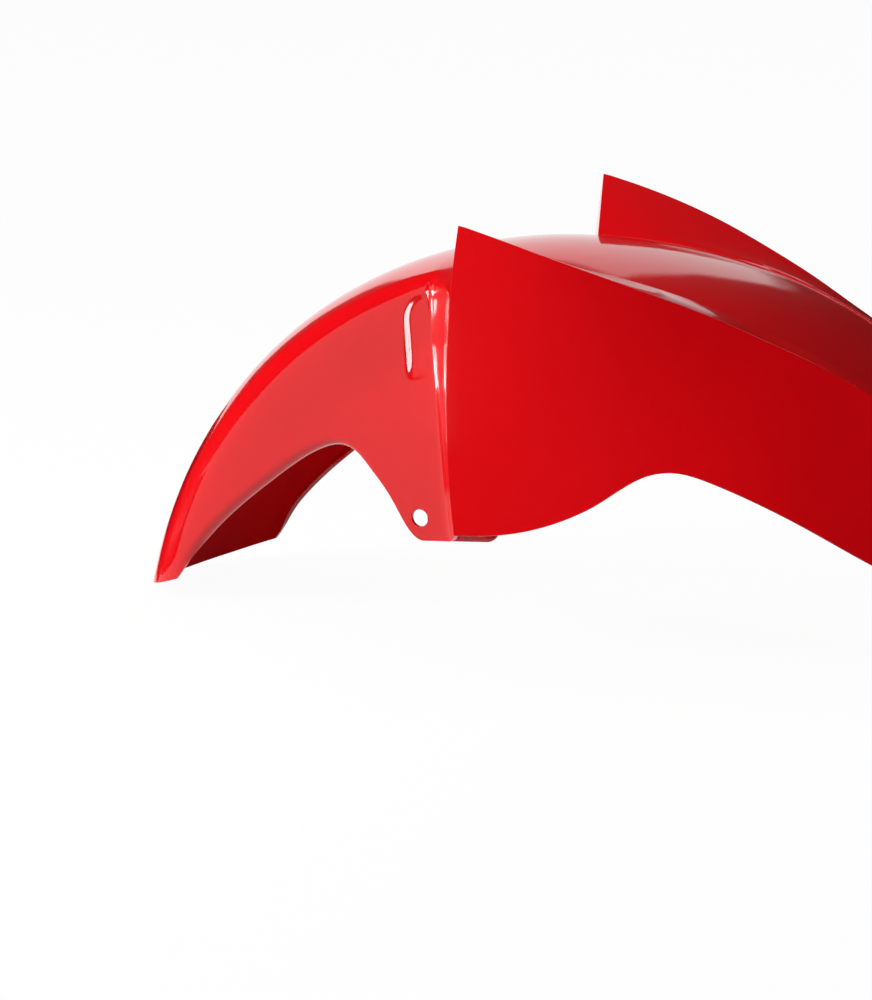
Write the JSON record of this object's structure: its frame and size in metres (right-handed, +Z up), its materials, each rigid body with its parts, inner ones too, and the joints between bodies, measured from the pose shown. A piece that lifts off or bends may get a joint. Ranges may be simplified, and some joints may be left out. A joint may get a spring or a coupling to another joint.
{
  "type": "motorcycle front mudguard",
  "caption": "Moulded motorcycle front mudguard: a narrow rear arch, fork ears with bolt holes, and wide wings with raised fins that run forward into a beak.",
  "frame": {"origin": "midway between the two fork bolt holes, on their common axis", "axes": "+X forwards along the machine, +Y to its left along the bolt axis, +Z up along the fork legs"},
  "size_m": [0.7597, 0.2296, 0.3197],
  "materials": {
    "paint": "gloss red paint"
  },
  "bodies": {
    "root": {"mudguard": "paint"}
  },
  "joints": []
}
